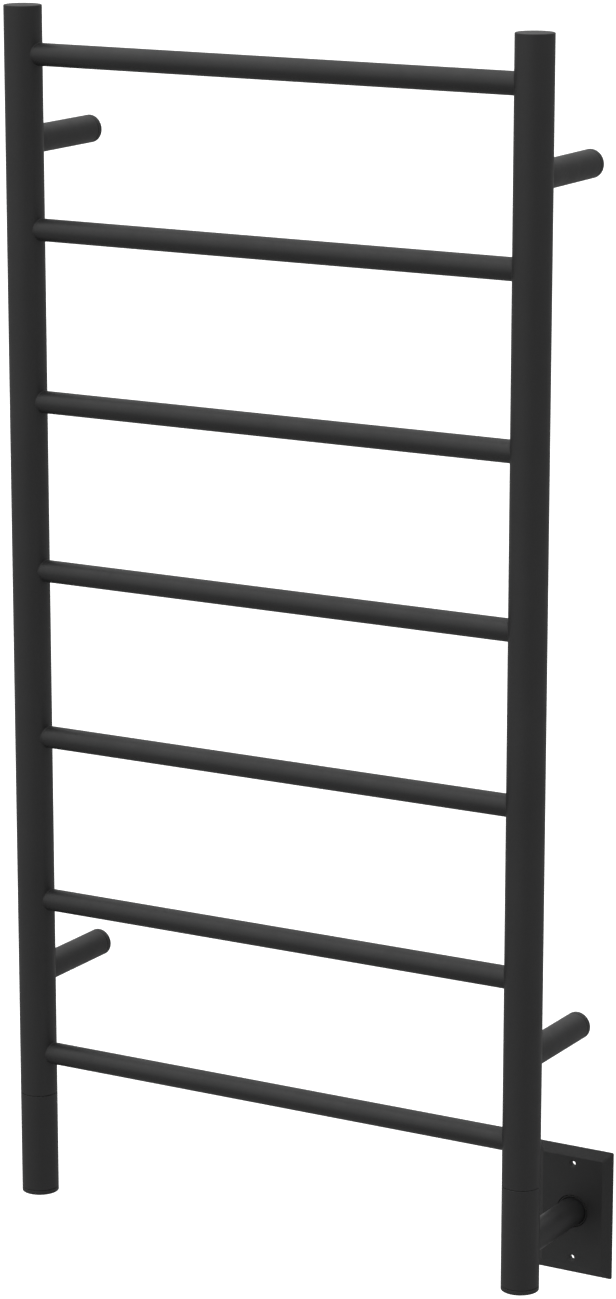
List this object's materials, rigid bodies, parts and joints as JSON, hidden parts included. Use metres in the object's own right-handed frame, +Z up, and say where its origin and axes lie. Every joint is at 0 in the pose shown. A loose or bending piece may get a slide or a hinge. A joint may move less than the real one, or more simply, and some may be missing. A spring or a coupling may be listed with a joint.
{
  "type": "towel warmer rack",
  "caption": "Wall-mounted ladder towel warmer: round rails between round posts, held off the wall by standoffs, with a wiring arm and a bevelled cover plate at the foot of a post.",
  "frame": {"origin": "on the wall, midway between the four wall anchors", "axes": "+X right as seen from the room, +Y into the wall, +Z up"},
  "size_m": [0.5214, 0.1159, 1.0456],
  "materials": {
    "coated_tube": "matte black powder coat",
    "coated_plate": "matte black powder coat",
    "black_screw": "black oxide",
    "bare_steel": "plain drawn stainless tube",
    "black_polymer": "moulded black nylon",
    "cable_silicone": "red-brown silicone sheath",
    "earth_brass": "plain machined brass",
    "ceramic": "unglazed off-white ceramic"
  },
  "bodies": {
    "rack": {"left_post": "coated_tube", "right_post": "coated_tube", "left_lower_sleeve": "coated_tube", "right_lower_sleeve": "coated_tube", "left_top_cap": "coated_tube", "right_top_cap": "coated_tube", "left_bottom_cap": "coated_tube", "right_bottom_cap": "coated_tube", "rail_1": "coated_tube", "rail_2": "coated_tube", "rail_3": "coated_tube", "rail_4": "coated_tube", "rail_5": "coated_tube", "rail_6": "coated_tube", "rail_7": "coated_tube", "standoff_upper_left": "coated_tube", "standoff_lower_left": "coated_tube", "standoff_upper_right": "coated_tube", "standoff_lower_right": "coated_tube", "wall_anchor_upper_left": "coated_tube", "wall_anchor_lower_left": "coated_tube", "wall_anchor_upper_right": "coated_tube", "wall_anchor_lower_right": "coated_tube", "set_screw_upper_left": "black_screw", "set_screw_lower_left": "black_screw", "set_screw_upper_right": "black_screw", "set_screw_lower_right": "black_screw", "wiring_arm": "coated_tube", "arm_bushing": "black_polymer", "left_sleeve_coupler": "bare_steel", "right_sleeve_coupler": "bare_steel", "heating_cable": "cable_silicone", "cable_end_seal": "black_polymer", "thermal_cutoff": "ceramic", "cable_connector": "ceramic", "earth_stud": "earth_brass", "earth_nut": "earth_brass"},
    "plate_ring": {"plate_bush": "black_polymer"},
    "plate": {"cover_plate": "coated_plate"}
  },
  "joints": [
    {"name": "plate_slide", "type": "slide", "parent": "rack", "child": "plate_ring", "axis": [0, -1, 0], "range_m": [0, 0.077]},
    {"name": "plate_turn", "type": "hinge", "parent": "plate_ring", "child": "plate", "pos_m": [0.235, 0, -0.52], "axis": [0, 1, 0], "continuous": true}
  ]
}
